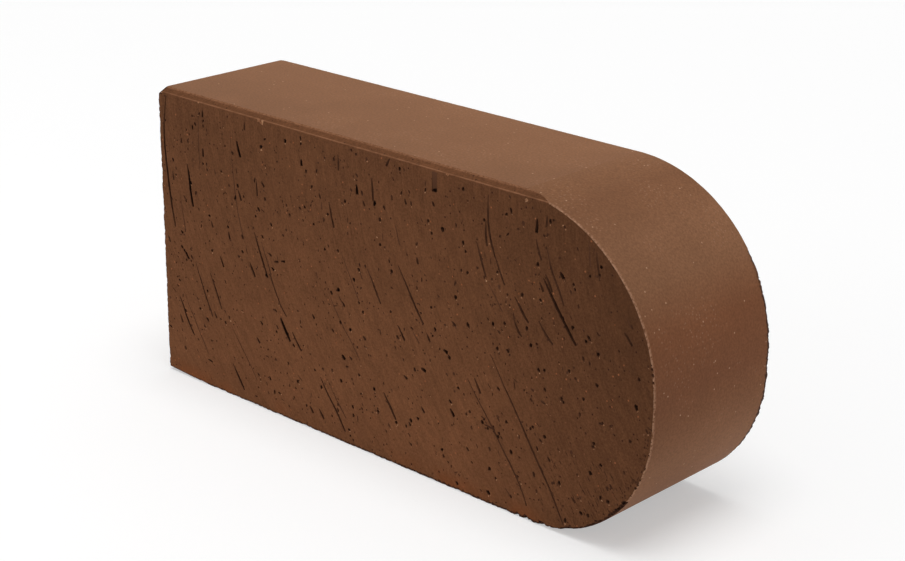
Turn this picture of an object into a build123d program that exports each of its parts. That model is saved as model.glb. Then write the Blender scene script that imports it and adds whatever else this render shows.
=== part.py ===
from build123d import *

import os

# A solid stove brick of fired clay with one half-round end, standing on its long narrow side.
# A die shapes the clay column, whose section is seen from the front, and two wires cut the brick off it.
# X runs from the square end to the nose, Y from the front cut face to the back one, and Z is up.
# The origin is on the floor under the middle of the brick. All sizes are in millimetres.

# Driving dimensions
brick_length = 250.0     # from the square end to the tip of the nose
brick_height = 120.0     # across the clay column, upright here
brick_thickness = 65.0   # between the two wire cuts
nose_sag = 8.0           # the soft nose settled, so its lower arc is this much tighter
die_corner_radius = 1.5  # the die's own corners, at the square end
bevel_reach = 4.0        # bevel on the upper front edge, measured back over the top
bevel_drop = 1.5         # the same bevel, measured down the front cut face
arris_radius = 0.5       # the cut edges, which the wire left slightly blunt

# What follows from them
upper_nose_radius = brick_height / 2
lower_nose_radius = upper_nose_radius - nose_sag
front_y = -brick_thickness / 2
back_y = brick_thickness / 2
square_end_x = -brick_length / 2
nose_tip_x = brick_length / 2


def column_section():
    """The outline that the die gives the clay column, with its nose sagged onto the lower half."""
    upper_centre = (nose_tip_x - upper_nose_radius, brick_height - upper_nose_radius)
    lower_centre = (nose_tip_x - lower_nose_radius, lower_nose_radius)
    with BuildSketch(Plane.XZ) as section:
        with BuildLine():
            upper_arc = CenterArc(upper_centre, upper_nose_radius, 0, 90)
            lower_arc = CenterArc(lower_centre, lower_nose_radius, 0, -90)
            Line(upper_arc @ 0, lower_arc @ 0)
            Polyline(upper_arc @ 1, (square_end_x, brick_height), (square_end_x, 0), lower_arc @ 1)
        make_face()
        die_corners = section.vertices().group_by(Axis.X)[0]
        fillet(die_corners, die_corner_radius)
    return section.sketch


def bevel_plane():
    """The plane along the upper front edge. It runs out by itself where the nose falls away."""
    heel = Vector(0, front_y, brick_height - bevel_drop)
    slope = Vector(0, bevel_reach, bevel_drop)
    return Plane(origin=heel, x_dir=(1, 0, 0), z_dir=Vector(1, 0, 0).cross(slope))


def lies_on(plane, edge):
    """Whether an edge lies in a plane from end to end."""
    return all(abs(plane.to_local_coords(edge @ share).Z) < 1e-4 for share in (0, 0.5, 1))


def wire_cut_arrises(brick):
    """The edges round both cut faces, but for the bevel's own edge on the front one."""
    front = brick.edges().filter_by_position(Axis.Y, front_y, front_y)
    back = brick.edges().filter_by_position(Axis.Y, back_y, back_y)
    return [edge for edge in front + back if not lies_on(bevel_plane(), edge)]


clay_column = extrude(column_section(), amount=brick_thickness / 2, both=True)
bevelled_brick = split(clay_column, bisect_by=bevel_plane(), keep=Keep.BOTTOM)
stove_brick = fillet(wire_cut_arrises(bevelled_brick), arris_radius)

os.makedirs("parts", exist_ok=True)
export_step(stove_brick, "parts/stove_brick.step")
print(f"stove_brick: {stove_brick.volume / 1e6:.3f} litres")
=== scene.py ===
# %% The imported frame
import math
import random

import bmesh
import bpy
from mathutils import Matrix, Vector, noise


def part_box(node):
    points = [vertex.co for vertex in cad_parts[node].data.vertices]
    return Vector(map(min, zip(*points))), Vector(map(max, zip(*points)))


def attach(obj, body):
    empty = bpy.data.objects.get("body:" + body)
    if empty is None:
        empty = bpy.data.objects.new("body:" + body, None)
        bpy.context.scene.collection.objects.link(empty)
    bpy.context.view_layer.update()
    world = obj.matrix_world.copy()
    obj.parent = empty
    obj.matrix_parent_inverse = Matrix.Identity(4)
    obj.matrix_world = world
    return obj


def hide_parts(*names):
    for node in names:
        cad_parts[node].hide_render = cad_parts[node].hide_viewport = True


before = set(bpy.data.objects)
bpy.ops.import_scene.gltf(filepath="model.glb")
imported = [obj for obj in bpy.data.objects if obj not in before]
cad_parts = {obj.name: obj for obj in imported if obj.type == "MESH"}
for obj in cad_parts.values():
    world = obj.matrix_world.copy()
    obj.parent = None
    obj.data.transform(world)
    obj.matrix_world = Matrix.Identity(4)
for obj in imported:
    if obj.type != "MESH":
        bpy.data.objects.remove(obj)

# %% [markdown]
# # A stove brick with a half-round end
# Such a brick is one lump of dark clay that was fired until it nearly glazed. A die presses a long clay
# column, whose section is the outline seen from the front. Wires then cut slices off the column, and each
# slice is a brick. So there are two kinds of surface. The die leaves a smooth skin on the top, the nose,
# the square end and the underside. The wire leaves the two big faces torn: grit is dragged through the
# clay, and cuts long scratches. Here the body is built first, then the torn marks are cut out of it, and
# then each surface gets its material. The frame comes from the CAD model, in metres, so every size below
# is a share of it or a real size in millimetres.

MM = 0.001
noise.seed_set(1)            # the noise module takes its seed from the clock otherwise
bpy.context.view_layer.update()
low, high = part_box("stove_brick")
length, thickness, height = high - low
nose_sag = 8 * MM            # the lower arc of the nose is this much tighter
die_corner = 1.5 * MM        # the die's own corners at the square end
bevel_reach = 4 * MM         # bevel of the upper front edge, over the top
bevel_drop = 1.5 * MM        # the same bevel, down the front face
arris = 0.5 * MM             # the blunt edges round both cut faces
upper_nose = height / 2
lower_nose = upper_nose - nose_sag
print("brick", [round(side / MM, 1) for side in (length, thickness, height)], "mm")

# %% [markdown]
# ## The body
# A brick like this could be drawn as an outline and extruded, but a box with bevelled edges is quicker
# and stays tidy. Bevelling an edge by the whole nose radius turns it into the arc that the die gives. The
# nose sagged a little while it was soft, so its lower arc is tighter than its upper one, and a short
# straight piece joins them.

# %% The blank
def near(a, b):
    return abs(a - b) < 1e-6


def edges_where(mesh, test):
    """The edges whose two ends both pass a test."""
    return [edge for edge in mesh.edges if all(test(vert.co) for vert in edge.verts)]


def round_edges(mesh, edges, size, segments):
    bmesh.ops.bevel(mesh, geom=edges, offset=size, offset_type="OFFSET", affect="EDGES",
                    segments=segments, profile=0.5, material=-1)


def long_edges_at(mesh, x, z):
    """The edges that run through the thickness at one corner of the outline."""
    return edges_where(mesh, lambda p: near(p.x, x) and near(p.z, z))


blank = bmesh.new()
bmesh.ops.create_cube(blank, size=1.0)
bmesh.ops.scale(blank, vec=(length, thickness, height), verts=blank.verts)
bmesh.ops.translate(blank, vec=(low + high) / 2, verts=blank.verts)
nose_segments = 84
round_edges(blank, long_edges_at(blank, high.x, high.z), upper_nose, nose_segments)
round_edges(blank, long_edges_at(blank, high.x, low.z), lower_nose, nose_segments)
corner_segments = 4
for z in (high.z, low.z):
    round_edges(blank, long_edges_at(blank, low.x, z), die_corner, corner_segments)
print("blank", len(blank.faces), "faces")

# %% [markdown]
# ## The bevel
# The upper front edge was planed off while the clay was still soft. The plane meets the top 4 mm back and
# the front face 1.5 mm down, and runs out by itself where the nose falls away. Blender's bevel can't run
# out like that, so one cut with a plane makes it, and the hole it leaves is closed with one face.

# %% The bevel
bevel_heel = Vector((0, low.y, high.z - bevel_drop))
bevel_normal = Vector((0, -bevel_drop, bevel_reach)).normalized()


def above_bevel(p):
    """How far a point lies outside the bevel's plane."""
    return (p - bevel_heel).dot(bevel_normal)


def slice_off(mesh, point, normal):
    """Cuts off what lies beyond a plane, and closes the cut with one face."""
    cut = bmesh.ops.bisect_plane(mesh, geom=mesh.verts[:] + mesh.edges[:] + mesh.faces[:], dist=1e-7,
                                 plane_co=point, plane_no=normal, clear_outer=True)
    edges = [item for item in cut["geom_cut"] if isinstance(item, bmesh.types.BMEdge)]
    bmesh.ops.edgeloop_fill(mesh, edges=edges)


slice_off(blank, bevel_heel, bevel_normal)
print("bevel", round(math.hypot(bevel_reach, bevel_drop) / MM, 2), "mm wide")

# %% [markdown]
# ## Worn corners
# Soft clay loses its corners when the brick is handled. At the upper one, beside the bevel, three small
# slices look worn enough. The lower one was pressed flat where the brick stood, and one long shallow
# slice shows that.

# %% The worn corners
upper_corner = Vector((low.x, low.y, high.z - bevel_drop))
# for each slice, the direction outwards and how far in from the corner it goes, in millimetres
upper_slices = [((-0.5, -0.5, 1.0), 1.0), ((-1.0, -0.6, 0.6), 0.8), ((-1.0, -0.9, 0.15), 0.5)]
for direction, inset in upper_slices:
    out = Vector(direction).normalized()
    slice_off(blank, upper_corner - out * inset * MM, out)

worn_along, worn_up, worn_back = 25 * MM, 1.3 * MM, 9 * MM     # how far the lower slice reaches each way
slice_off(blank, Vector((low.x + worn_along, low.y, low.z)),
          Vector((-worn_up / worn_along, -worn_up / worn_back, -1)).normalized())
print("corners worn,", len(blank.faces), "faces")

# %% [markdown]
# ## The burr
# The blade pushed a thin burr of clay along the lower edge of the bevel. Three cuts along the bevel give
# the burr its lines now, and its middle is lifted by a tenth of a millimetre later, when the lines have
# small edges.

# %% The burr's lines
def open_edges(mesh):
    """How many edges of a mesh don't have exactly two faces. A closed shape has none."""
    return sum(not edge.is_manifold for edge in mesh.edges)


burr_line = 0.45 * MM        # back from the front face to the middle of the burr
burr_half = 0.2 * MM
burr_rise = 0.12 * MM
for back in (burr_line - burr_half, burr_line, burr_line + burr_half):
    strip = [face for face in blank.faces if all(abs(above_bevel(vert.co)) < 1e-6 for vert in face.verts)]
    parts = {item for face in strip for item in (*face.verts, *face.edges, face)}
    bmesh.ops.bisect_plane(blank, geom=list(parts), dist=1e-7,
                           plane_co=(0, low.y + back, 0), plane_no=(0, 1, 0))
bmesh.ops.recalc_face_normals(blank, faces=blank.faces)
print("bevelled", len(blank.faces), "faces, open edges:", open_edges(blank))

# %% [markdown]
# ## The arrises
# The wire leaves the edges of the cut faces blunt and, where it dragged grit out, crumbly. Short edges
# are needed before a rim can crumble, so the long ones are divided to less than a millimetre, and then
# they are rounded.

# %% Dividing the rims
rim_step = 0.8 * MM


def divide(mesh, test):
    """Divides the edges that pass a test into pieces of about one rim step."""
    for edge in edges_where(mesh, test):
        pieces = round(edge.calc_length() / rim_step)
        if pieces > 1:
            bmesh.ops.subdivide_edges(mesh, edges=[edge], cuts=pieces - 1)


def on_cut_face(p):
    return near(p.y, low.y) or near(p.y, high.y)


def rim_edges(mesh):
    """The edges round the two cut faces, but for the bevel's own edge."""
    return [edge for side in (low.y, high.y) for edge in edges_where(mesh, lambda p: near(p.y, side))
            if not all(abs(above_bevel(vert.co)) < 1e-6 for vert in edge.verts)]


for side in (low.y, high.y):
    divide(blank, lambda p: near(p.y, side))
divide(blank, lambda p: near(p.y, low.y + burr_line) and abs(above_bevel(p)) < 1e-6)
arris_segments = 3
round_edges(blank, rim_edges(blank), arris, arris_segments)
print("with arrises", len(blank.faces), "faces, open edges:", open_edges(blank))

# %% [markdown]
# ## Where a point lies on the outline
# Two facts are needed again and again: which way is out of the clay at some point of the outline, and how
# deep a point lies under the skin. Both follow from the outline, which is straight sides and two arcs.

# %% Outline facts
upper_centre = Vector((high.x - upper_nose, 0, high.z - upper_nose))
lower_centre = Vector((high.x - lower_nose, 0, low.z + lower_nose))


def skin(p):
    """The depth of a point under the die's skin, and the direction out of the clay there."""
    nearest = [(high.z - p.z, Vector((0, 0, 1))), (p.z - low.z, Vector((0, 0, -1))),
               (p.x - low.x, Vector((-1, 0, 0))), (high.x - p.x, Vector((1, 0, 0)))]
    for centre, radius, is_upper in ((upper_centre, upper_nose, True), (lower_centre, lower_nose, False)):
        out = Vector((p.x - centre.x, 0, p.z - centre.z))
        if out.x > 0 and (out.z > 0) == is_upper:
            nearest.append((radius - out.length, out.normalized()))
    return min(nearest, key=lambda pair: pair[0])


def depth(p):
    """The depth of a point under the nearest of all the brick's surfaces."""
    return min(skin(p)[0], p.y - low.y, high.y - p.y, -above_bevel(p))


def from_square_end(p):
    return (p.x - low.x) / MM


def above_floor(p):
    return (p.z - low.z) / MM


# %% [markdown]
# ## Crumbling the rims
# Grit that sat right on an edge was pulled out by the wire, so the rims are ragged, most of all along the
# bottom of the nose. Noise moves the small vertices of the rims inwards, never outwards, so the brick
# keeps its size. A wave of some millimetres gives the wander, and one of a millimetre gives the crumbs.
# At the back the bites are wider than they are deep, because there the wire left the clay and lifted
# flakes off the skin.

# %% The crumbled rims
def crumble_reach(p):
    """How far a rim crumbles at most, in millimetres: most low on the nose, and least along the top."""
    x, z = from_square_end(p), above_floor(p)
    if x < 2:
        return 0.5
    if p.y < 0:
        if z < 22:
            return 0.55 if x <= 190 else (1.6 if x < 228 else 0.9)
        return 0.3 if z < 76 else 0.1
    if x > 190:
        return 1.4 if z < 70 else (0.9 if z < 95 else 0.1)
    return 0.5 if z < 2 else 0.1


wander = 4.5 * MM
crumb = 1.3 * MM
for vert in blank.verts:
    p = vert.co.copy()
    to_side = min(p.y - low.y, high.y - p.y)
    under_skin, out = skin(p)
    if to_side > arris * 1.01 or under_skin > arris * 1.01 or abs(above_bevel(p)) < 1e-5:
        continue
    slow = noise.noise(p / wander)
    quick = noise.noise(p / crumb + Vector((7, 3, 1)))
    bite = crumble_reach(p) * MM * min(1, max(0, 0.35 + 0.8 * slow + 0.9 * quick))
    share = to_side / arris
    inward, steep = (Vector((0, 1, 0)), 1) if p.y < 0 else (Vector((0, -1, 0)), 0.5)
    vert.co = p - out * bite * steep * (1 - share) + inward * bite * share
for vert in blank.verts:
    p = vert.co
    if abs(above_bevel(p)) < 1e-6 and near(p.y, low.y + burr_line):
        vert.co = p + bevel_normal * burr_rise * (0.8 + 0.9 * noise.noise(p / (2 * MM)))
    vert.co.x, vert.co.z = max(vert.co.x, low.x), max(vert.co.z, low.z)     # nothing leaves the brick's box
bmesh.ops.recalc_face_normals(blank, faces=blank.faces)
print("rims crumbled,", len(blank.verts), "vertices")

# %% [markdown]
# ## Tiles
# About two thousand marks will be cut out of the two big faces. A Boolean rebuilds every face that a mark
# touches, and one huge face with a thousand holes comes out slow and full of slivers. So the big faces
# are cut into tiles of 6 mm first, and each tile holds only a few marks. The tiles stay flat, so nobody
# sees them.

# %% The tiles
tile = 6 * MM
for axis in (0, 2):
    for step in range(1, math.ceil((high[axis] - low[axis]) / tile)):
        plane_co, plane_no = Vector(), Vector()
        plane_co[axis], plane_no[axis] = low[axis] + step * tile, 1
        faces = [face for face in blank.faces if all(on_cut_face(vert.co) for vert in face.verts)]
        parts = {item for face in faces for item in (*face.verts, *face.edges, face)}
        bmesh.ops.bisect_plane(blank, geom=list(parts), dist=1e-7, plane_co=plane_co, plane_no=plane_no)
print("tiled,", len(blank.faces), "faces, open edges:", open_edges(blank))

brick_mesh = bpy.data.meshes.new("fired_brick")
blank.to_mesh(brick_mesh)
blank.free()
brick = bpy.data.objects.new("fired_brick", brick_mesh)
bpy.context.scene.collection.objects.link(brick)
print("brick", [round(side / MM, 1) for side in brick.dimensions], "mm")

# %% [markdown]
# ## Furrows
# The wire came down through the front face. Grit that it caught ploughed furrows, which start upright at
# the top and lean towards the nose further down, because the wire swung. They are the first thing that
# the eye finds, so the front's are listed one by one. Each is a row of points in millimetres: how far from
# the square end, and how far above the floor. A row has only the points that its bends need, and the rows
# are grouped by width.

# %% The front face's furrows
furrow_width = {"faint": 0.6, "fine": 0.85, "plain": 0.95, "wide": 1.35, "worn": 1.2}    # mm, at the surface
furrow_sink = {"faint": 0.33, "fine": 0.65, "plain": 0.8, "wide": 1.0, "worn": 0.75}     # depth over half of that
furrows = {
    "faint": [
        [(24.5, 117), (24, 108), (24, 100), (24.3, 92)],
        [(43, 111), (43, 103), (44, 95), (45, 85), (46, 80), (47.5, 74), (49, 69)],
        [(11.5, 78), (12.5, 71), (14, 64)],
        [(11.5, 37.5), (14, 32), (17, 28), (20, 22.5), (23, 18), (25.5, 14)],
        [(40.5, 30), (45, 24), (50, 18), (55, 11)],
        [(104, 76), (108, 69), (113, 60)],
        [(112.8, 73), (114.8, 69)],
        [(131.8, 94), (134, 87)],
        [(97, 21), (100, 17), (103, 13.5), (105.5, 10.5)],
        [(95.5, 61), (100, 53.5), (105.5, 46), (109, 42.5), (113.2, 36.5)],
        [(140.8, 55.5), (144, 52)],
        [(177, 83.5), (180, 80), (183.5, 75)],
        [(186.5, 9), (189, 6.5)],
        [(93.3, 94), (93.7, 91)],
        [(220.5, 109.5), (221.5, 101)],
        [(237, 88), (239, 84.5)],
    ],
    "fine": [
        [(59.5, 70), (61.5, 65), (64, 60), (64.5, 56.5), (67, 51.5), (69, 48), (70.5, 45.5), (73, 43)],
        [(19.5, 51.5), (21.5, 47), (24, 41), (26, 37), (29, 31)],
        [(28.2, 49.5), (30, 46), (31.5, 43), (33, 39.5), (34.7, 35.7)],
        [(117.3, 74), (120.5, 69), (121.3, 67), (124.3, 62)],
        [(179.6, 94.5), (182, 89), (184.3, 85)],
        [(171, 97.5), (172.5, 94), (174, 89.5), (175.7, 85.5)],
        [(202.5, 103.5), (204, 99), (205, 95.5), (207, 92), (209, 88.5), (210.8, 84.5)],
        [(200, 76), (202, 73.5), (204, 71.3), (206.5, 69.3)],
        [(167.5, 45.7), (170.5, 41.5), (176, 35), (180.5, 29.5), (186, 22), (189, 18.5), (194.5, 10.5), (196.5, 5.5)],
        [(51.5, 116), (51.3, 112.8)],
        [(7.2, 87), (7.8, 83.5)],
        [(57.3, 95), (57.8, 88)],
        [(30, 71.5), (31, 69)],
        [(13.3, 102), (13.6, 100)],
        [(8.5, 26.5), (10, 23.3)],
        [(30, 33.5), (31.5, 31)],
        [(25, 11.5), (28, 11)],
        [(67, 38), (68, 36.5)],
        [(3, 59), (4, 56.5)],
        [(102.5, 114), (103, 111), (102.7, 108)],
        [(115.3, 99.5), (116.3, 97.5)],
        [(92.3, 97), (93, 95)],
        [(130, 105), (130.2, 103)],
        [(107.5, 36.5), (109, 35.5)],
        [(198, 105), (199, 101), (200.5, 98)],
        [(202.5, 114), (202.3, 110)],
        [(223.7, 106.5), (225, 101), (225.5, 97)],
        [(231.5, 25), (232.5, 23.8)],
        [(176, 30.3), (181, 29.8)],
        [(233, 26.5), (234, 25)],
        [(216.5, 16), (218.5, 14.3)],
    ],
    "plain": [
        [(55.5, 73), (57, 69), (60.5, 61), (62.3, 57)],
        [(76, 37.5), (78.5, 34), (81, 31)],
        [(52.3, 60), (53.2, 58.3), (53.8, 57.3), (55.3, 54.7)],
        [(8.5, 34.5), (10.3, 32), (12, 27.5), (14, 24), (17, 19.5)],
        [(40.5, 14), (42.5, 11), (45, 7.5), (47, 4.5)],
        [(133.3, 79), (136, 75), (140, 68.5), (143, 64), (146, 60)],
        [(91.5, 23.3), (92.5, 22), (95, 18), (98, 14.5), (101, 11), (103, 7.5), (105, 4.8)],
        [(125.7, 27.5), (128, 24), (130, 21.5), (132, 18.3)],
        [(133, 56), (135, 53.5), (136.5, 51)],
        [(176.3, 115.5), (176, 109), (176.7, 103), (178, 98), (180, 93.5)],
        [(175.3, 106), (175, 101), (176, 97)],
        [(202.5, 93.5), (204, 91), (205.5, 88)],
        [(189, 82), (191, 79.5), (193.3, 76.3), (195.5, 74)],
        [(178.3, 57.7), (181, 54), (184, 49), (188, 43.5), (192, 37.7), (196, 31.5), (200, 25.5), (203.5, 20.5),
         (207, 15.5), (209, 12), (211, 8.5), (213.3, 4.3)],
        [(26.8, 116), (26.8, 113)],
        [(26.4, 100.5), (26.4, 97)],
        [(60.3, 94.5), (61.8, 92.5)],
        [(46.8, 88), (48.3, 84)],
        [(40.2, 69.5), (41, 66.5)],
        [(66.5, 63.8), (69, 64.3)],
        [(70.5, 65), (72.8, 65.3)],
        [(34.8, 58), (36.7, 54)],
        [(57.8, 37), (59, 35.7)],
        [(55.3, 29.5), (57.2, 27.5)],
        [(62.2, 15), (63, 13.5)],
        [(129, 118.2), (127.8, 116), (127.3, 115)],
        [(120, 109), (120.3, 104), (120.7, 100.3)],
        [(97.5, 95), (98.5, 90), (100, 85.5)],
        [(136.5, 105), (137.2, 103)],
        [(142.5, 84.5), (143.2, 82)],
        [(159.8, 65), (161.8, 63.5)],
        [(85.2, 9.5), (87.3, 7)],
        [(90.5, 9.8), (93.2, 6.3)],
        [(104, 57.5), (105.3, 55.8)],
        [(87.5, 48), (88.7, 46.3)],
        [(115, 46.8), (116.3, 45.5)],
        [(147.5, 57), (149.3, 54)],
        [(136, 37.3), (138, 36.3)],
        [(145, 27.5), (146.8, 25.5)],
        [(156, 12.3), (156.7, 11)],
        [(200, 90), (201.7, 87)],
        [(189, 73.5), (190, 71), (191.7, 68.7)],
        [(236.5, 82.3), (238.2, 80.8), (240, 78.3)],
        [(171, 46.5), (172.5, 44), (174, 41.5)],
        [(205.5, 27.5), (206.7, 26)],
        [(191.5, 16), (192.5, 15.2)],
        [(168.5, 33.5), (169.3, 32.7)],
    ],
    "wide": [
        [(16.5, 92), (17.5, 87), (18, 80), (19.2, 75)],
        [(46.5, 107.5), (47.3, 105), (48.5, 101.5)],
        [(149.6, 111), (150.8, 111.3), (152.1, 111.6)],
        [(69.5, 41.7), (70, 40.5), (72.5, 36.5), (74.8, 33.2)],
        [(201.5, 92), (203, 90), (206, 85.5), (210, 80), (213.5, 75.5), (216.5, 71.8)],
        [(82.8, 108), (83, 105.5)],
        [(112, 104.8), (112.5, 101)],
        [(103.5, 36), (105.2, 34.5)],
        [(155.8, 53), (158, 52.3)],
        [(145, 42.7), (147.3, 42)],
        [(159.5, 31.3), (161.5, 28.7)],
        [(198.3, 112), (198.2, 109), (198, 107)],
        [(208.7, 96), (210.3, 94)],
        [(214.2, 78.3), (215.3, 77.5)],
        [(224, 28.5), (225, 27)],
    ],
    "worn": [
        [(5, 117.5), (4, 112), (3, 106), (2.8, 99), (3.3, 92), (4.3, 84), (5.5, 75), (6.5, 69), (7.7, 64)],
    ],
}
print(sum(len(rows) for rows in furrows.values()), "furrows on the front face")

# %% [markdown]
# ## The wire's swing
# Everything that isn't listed one by one has to lean as the furrows do, or it would look sprinkled on. One
# small function gives the lean at any height: none at the top, quickly more below it, and then nearly the
# same.

# %% The wire's swing
full_lean = math.radians(34)
swing_from, swing_over = 118, 75        # mm above the floor where it starts, and mm down to the full lean


def drag_lean(z):
    """How far from upright the furrows lean towards the nose, at a height above the floor in millimetres."""
    return full_lean * min(1, max(0, (swing_from - z) / swing_over)) ** 0.8


print("lean", {z: round(math.degrees(drag_lean(z))) for z in (110, 80, 50, 20)}, "degrees by height in mm")

# %% [markdown]
# ## Furrows as tubes
# A furrow could be dug with sculpting tools, but a curve is easier to place. A curve with a round bevel
# becomes a tube whose radius is set point by point: thin where the grit bit in, and blunt where it came
# out. The tube is flattened towards the face, noise makes it ragged, and later it is cut out of the
# brick. Short tears are made a little wider than long scratches, because the grit rolled there.

# %% Furrows as tubes
def on_face(x, z, side):
    """A point of a cut face, from millimetres from the square end and above the floor."""
    return Vector((low.x + x * MM, side, low.z + z * MM))


short_run, short_wider = 30, 0.55       # mm, and how much wider the shortest tears are
tube_step = 0.8                         # mm along a tube from ring to ring


def furrow_tubes(cutters, rows, width, sink, side, ragged=0.35):
    """Adds a tube to the cutters for each row of points: thin where the grit bit, blunt where it came out."""
    curve = bpy.data.curves.new("furrows", "CURVE")
    curve.dimensions = "3D"
    curve.bevel_depth = MM / 2       # so that a point's radius is the width in millimetres
    curve.bevel_resolution = 1       # few sides, because there are hundreds of tubes
    curve.use_fill_caps = True
    for row in rows:
        if len(row) == 2:
            (x0, z0), (x1, z1) = row
            row = [(x0, z0), ((x0 + x1) / 2, (z0 + z1) / 2), (x1, z1)]
        run = sum(math.dist(a, b) for a, b in zip(row, row[1:]))
        torn_wide = 1 + short_wider * max(0, 1 - run / short_run)
        spline = curve.splines.new("NURBS")
        spline.points.add(len(row) - 1)
        for index, (x, z) in enumerate(row):
            share = index / (len(row) - 1)
            swell = 0.35 + 0.65 * min(1, 2.5 * share) - 0.25 * max(0, share - 0.8) / 0.2
            spline.points[index].co = (*on_face(x, z, side), 1)
            spline.points[index].radius = width * swell * torn_wide
        spline.order_u = 3
        spline.use_endpoint_u = True
        spline.resolution_u = max(2, round(run / (len(row) - 1) / tube_step))
    holder = bpy.data.objects.new("furrows", curve)
    bpy.context.scene.collection.objects.link(holder)
    tube = bpy.data.meshes.new_from_object(holder.evaluated_get(bpy.context.evaluated_depsgraph_get()))
    start = len(cutters.verts)
    cutters.from_mesh(tube)
    cutters.verts.ensure_lookup_table()
    for vert in cutters.verts[start:]:
        vert.co.y = side + (vert.co.y - side) * sink
        vert.co += noise.noise_vector(vert.co / (0.7 * MM)) * ragged * width * MM / 2
    bpy.data.objects.remove(holder)
    bpy.data.curves.remove(curve)
    bpy.data.meshes.remove(tube)


cutters = bmesh.new()
for name, rows in furrows.items():
    furrow_tubes(cutters, rows, furrow_width[name], furrow_sink[name], low.y)
print("front furrows", len(cutters.faces), "faces")

# %% [markdown]
# ## Pits
# Smaller grit came out whole and left pits, a little longer in the wire's direction. The bigger ones are
# listed. The rest are scattered, because nobody could tell where each speck was. A small sphere is
# stretched and dented for each pit. It has only a few dozen faces, because hundreds of them are needed.
# Below some pits a shallow dish in the pale grit's colour is a painted highlight, where the pit's lower lip
# would catch the light from above. On one spot near the square end a lump came out in pieces.

# %% The front face's pits
big_pits = [(74.2, 113.3), (155, 98), (161.5, 74.5), (110.3, 67.8), (102, 61.5), (196.7, 66.3), (132.3, 17.3),
            (163.2, 40.5), (139.8, 20.4), (242.7, 57.5), (226, 60.3), (204, 34.5), (232.5, 19.7), (211, 19.3),
            (178.8, 14), (178.5, 4.5), (121.3, 99.7)]
small_pits = [(20.5, 112.3), (60.5, 108.2), (82.7, 114), (18.4, 84.7), (46.5, 89.7), (56.5, 79.7), (29, 73.5),
              (84.3, 89.8), (11.7, 62.5), (48.2, 63.2), (40, 71.5), (26.2, 41.2), (62, 56.8), (78.7, 17.7),
              (134, 115.5), (164.5, 114.8), (148, 99.5), (164.8, 95.5), (124, 94.3), (124, 84.8), (89, 84.2),
              (95, 75.8), (102, 77), (130, 76), (167, 85), (149.7, 67.5), (167.5, 65.8), (113, 72.3), (92, 19.3),
              (113, 59.5), (115, 56.2), (108.2, 47.3), (112.7, 30.5), (120.7, 27.2), (103, 25.3), (109.2, 16.3),
              (109.5, 13), (122.7, 18.8), (151.8, 59.7), (158.8, 50.8), (107.7, 4), (163.2, 3), (155.5, 13.8),
              (174.5, 106), (184.5, 110.5), (204, 112.5), (205.3, 113.2), (199, 96.2), (214.7, 93), (215.3, 91.5),
              (221.5, 97.7), (226, 102), (225.5, 99), (200.5, 83.8), (194.7, 72), (184.7, 71), (179.3, 69.3),
              (199.3, 67.5), (220.7, 74.5), (226, 71.3), (243.3, 67.5), (181.5, 60.7), (186.3, 61.2), (214, 62),
              (203.5, 52), (211, 50.8), (211.8, 49.8), (200.5, 58.3), (203, 59), (220.5, 53.7), (229, 47.5),
              (240.8, 44.8), (225.5, 39), (225.3, 37.7), (228.8, 32), (186.3, 34.5), (197.5, 35.5), (198.5, 36.5),
              (182.5, 27.7), (175.8, 32.3), (175, 30.9), (177.6, 29.3), (180.3, 30.8), (183, 29), (188.8, 23.7),
              (229.3, 20), (181.8, 11.3), (221, 11.3), (224.2, 11.5)]
big_pit, small_pit = 1.55, 1.25     # mm across
print(len(big_pits), "big pits and", len(small_pits), "small ones")

# %% A pit
TORN, GRIT_AND_HIGHLIGHT = 0, 1                   # the cutters' materials, in this order
balls = {}                          # one coarse and one finer sphere, copied for every pit
for detail in (1, 2):
    ball = bmesh.new()
    bmesh.ops.create_icosphere(ball, subdivisions=detail, radius=1)
    balls[detail] = bpy.data.meshes.new("ball")
    ball.to_mesh(balls[detail])
    ball.free()


def pit(cutters, spot, across, along, deep, lean, detail=1, material=TORN, dent=0.3):
    """Adds a dented, stretched sphere to the cutters. Its sizes are in millimetres."""
    stretch = Matrix.Diagonal((across * MM / 2, deep * MM, along * MM / 2, 1))
    place = Matrix.Translation(spot) @ Matrix.Rotation(-lean, 4, "Y") @ stretch
    first = len(cutters.verts)
    cutters.from_mesh(balls[detail])
    cutters.verts.ensure_lookup_table()
    for vert in cutters.verts[first:]:
        vert.co = place @ vert.co
        vert.co += noise.noise_vector(vert.co / (0.5 * MM)) * dent * across * MM
        for face in vert.link_faces:
            face.material_index = material


def highlight_below(cutters, spot, side, across, along, lean, dice):
    """A painted highlight at the lower end of a pit, where its lower lip would catch the light: a shallow dish in the
    pale grit's colour.
    """
    reach = (along / 2 + dice.uniform(0.1, 0.35)) * MM
    place = Vector((spot.x + math.sin(lean) * reach, side, spot.z - math.cos(lean) * reach))
    size = across * dice.uniform(0.5, 0.85)
    if skin(place)[0] > MM:
        pit(cutters, place, size, size * dice.uniform(0.7, 1.2), 0.08, lean, 1, GRIT_AND_HIGHLIGHT)


# %% The listed pits
dice = random.Random(12)
for spots, size in ((big_pits, big_pit), (small_pits, small_pit)):
    for x, z in spots:
        across = size * dice.uniform(0.8, 1.15)
        along = across * dice.uniform(1, 1.5)
        lean = drag_lean(z) + dice.uniform(-0.6, 0.6)
        pit(cutters, on_face(x, z, low.y), across, along, across * 0.5, lean, 2)
        # some pits get a painted highlight at their lower end
        if dice.random() < 0.4:
            highlight_below(cutters, on_face(x, z, low.y), low.y, across, along, drag_lean(z), dice)
print("with pits", len(cutters.faces), "faces")


# %% The scattered pits
clear_of_rim = 1.2 * MM


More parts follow.
